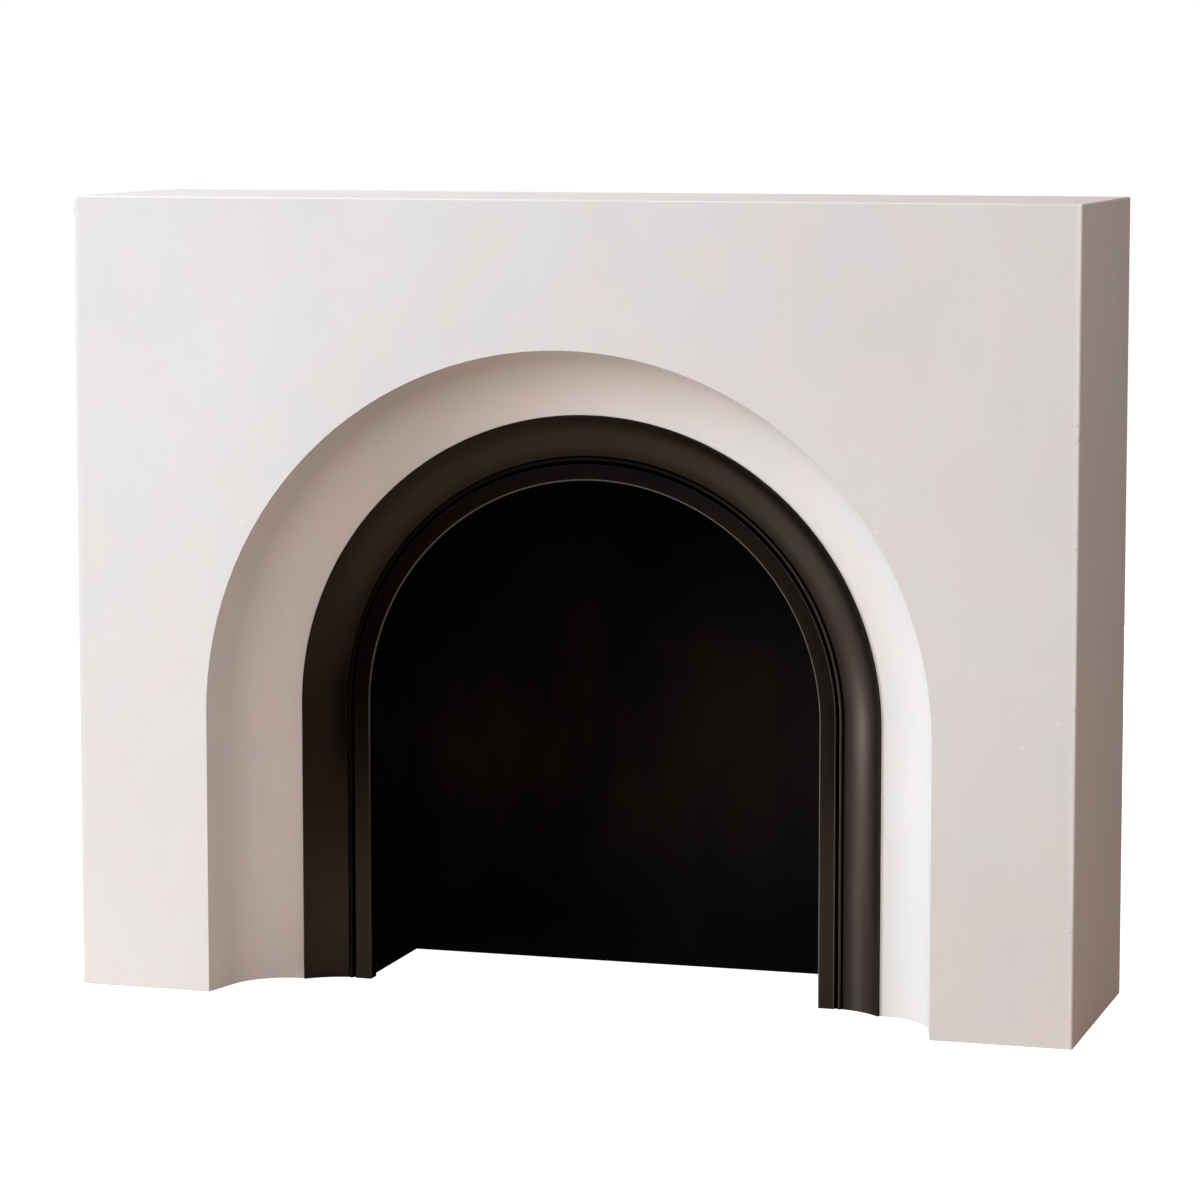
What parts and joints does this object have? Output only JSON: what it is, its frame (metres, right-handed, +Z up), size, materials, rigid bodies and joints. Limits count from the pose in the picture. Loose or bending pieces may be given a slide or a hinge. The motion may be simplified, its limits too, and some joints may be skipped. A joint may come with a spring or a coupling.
{
  "type": "arched fireplace surround",
  "caption": "Free-standing block mantel with a round-arched opening, a coved reveal, a moulded cast iron arch insert and a closed sheet steel firebox.",
  "frame": {"origin": "on the floor, in the middle of the plan", "axes": "+X to the right as seen from the front, +Y from the front face to the wall, +Z up"},
  "size_m": [1.4, 0.36, 1.1],
  "materials": {
    "limewashed_board": "smooth matt limewash on wood fibre board",
    "limewashed_casting": "smooth matt limewash on cast stone",
    "frame_timber": "planed softwood",
    "bulkhead_plywood": "sanded plywood",
    "insert_iron": "satin brown-black stove polish",
    "firebox_steel": "matt black heat-proof paint",
    "zinc_steel": "zinc plated",
    "gasket_fibre": "woven fibre tape"
  },
  "bodies": {
    "root": {"front_panel": "limewashed_board", "left_side_panel": "limewashed_board", "right_side_panel": "limewashed_board", "top_panel": "limewashed_board", "cove_arch": "limewashed_casting", "cove_left_leg": "limewashed_casting", "cove_right_leg": "limewashed_casting", "left_bottom_rail": "frame_timber", "right_bottom_rail": "frame_timber", "left_top_rail": "frame_timber", "right_top_rail": "frame_timber", "front_top_rail": "frame_timber", "rear_top_rail": "frame_timber", "left_front_post": "frame_timber", "right_front_post": "frame_timber", "left_rear_post": "frame_timber", "right_rear_post": "frame_timber", "left_bulkhead_cleat": "frame_timber", "right_bulkhead_cleat": "frame_timber", "top_bulkhead_cleat": "frame_timber", "cove_tongues": "frame_timber", "bulkhead": "bulkhead_plywood", "insert_frame": "insert_iron", "left_cheek": "firebox_steel", "right_cheek": "firebox_steel", "vault": "firebox_steel", "firebox_back": "firebox_steel", "keyhole_plates": "zinc_steel", "back_clips": "zinc_steel", "insert_straps": "zinc_steel", "insert_bolts": "zinc_steel", "insert_gasket": "gasket_fibre"}
  },
  "joints": []
}
